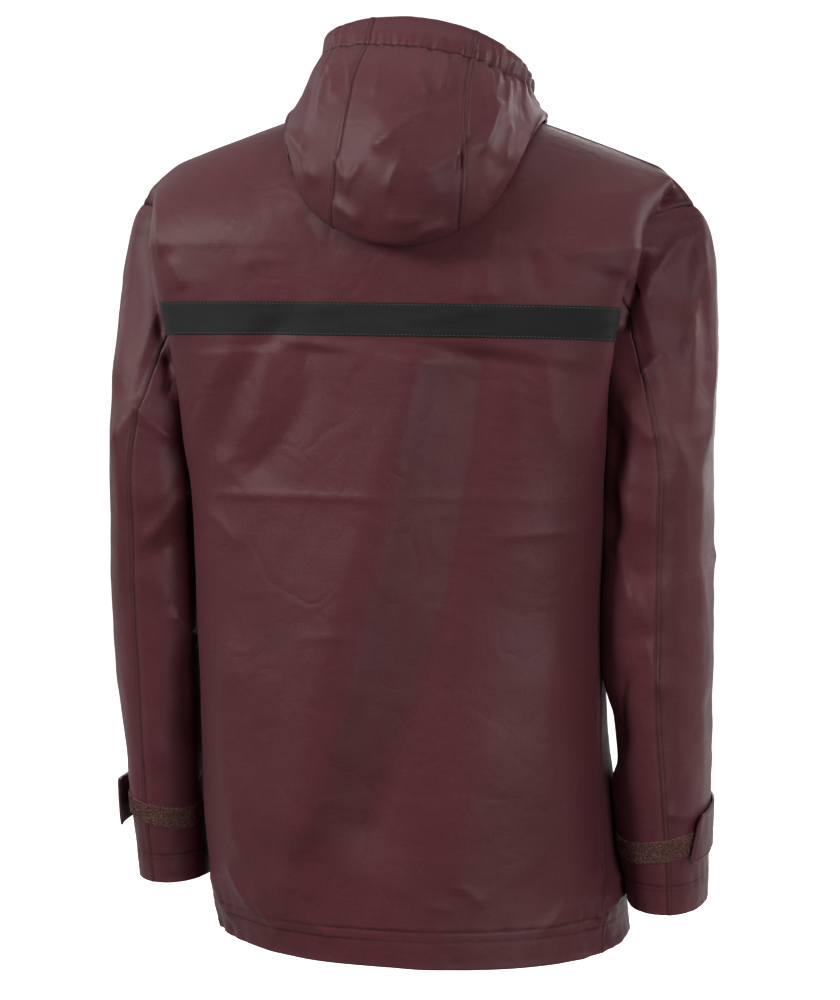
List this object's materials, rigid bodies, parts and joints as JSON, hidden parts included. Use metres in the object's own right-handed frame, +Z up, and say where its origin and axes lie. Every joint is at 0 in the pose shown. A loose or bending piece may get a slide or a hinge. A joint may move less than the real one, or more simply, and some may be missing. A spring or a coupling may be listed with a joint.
{
  "type": "hooded raincoat",
  "caption": "Hip-length hooded rain jacket as worn, hood down on the back, dark band across the back, tabbed cuffs, closed front zip.",
  "frame": {"origin": "on the shoulder line midway between the two points where the shoulder seams meet the neck, where the wearer's shoulders carry the jacket", "axes": "+Z up, -Y the way the wearer faces, +X the wearer's left"},
  "size_m": [0.5882, 0.3106, 0.8613],
  "materials": {
    "shell": "satin coated cloth",
    "band": "matte woven tape",
    "loop": "fuzzy loop tape",
    "zip": "matte",
    "metal": "satin"
  },
  "bodies": {
    "jacket": {"back": "shell", "front_left": "shell", "front_right": "shell", "sleeve_upper_left": "shell", "sleeve_under_left": "shell", "sleeve_upper_right": "shell", "sleeve_under_right": "shell", "hood_centre": "shell", "hood_left": "shell", "hood_right": "shell", "back_band": "band", "loop_band_left": "loop", "cuff_tab_left": "shell", "loop_band_right": "loop", "cuff_tab_right": "shell", "zip_teeth": "zip", "zip_tape_left": "zip", "zip_tape_right": "zip", "zip_slider": "metal"},
    "pull": {"zip_pull": "metal"}
  },
  "joints": [
    {"name": "pull_swing", "type": "hinge", "parent": "jacket", "child": "pull", "pos_m": [0, -0.11384, -0.001], "axis": [-1, 0, 0], "range_deg": [0, 110]}
  ]
}
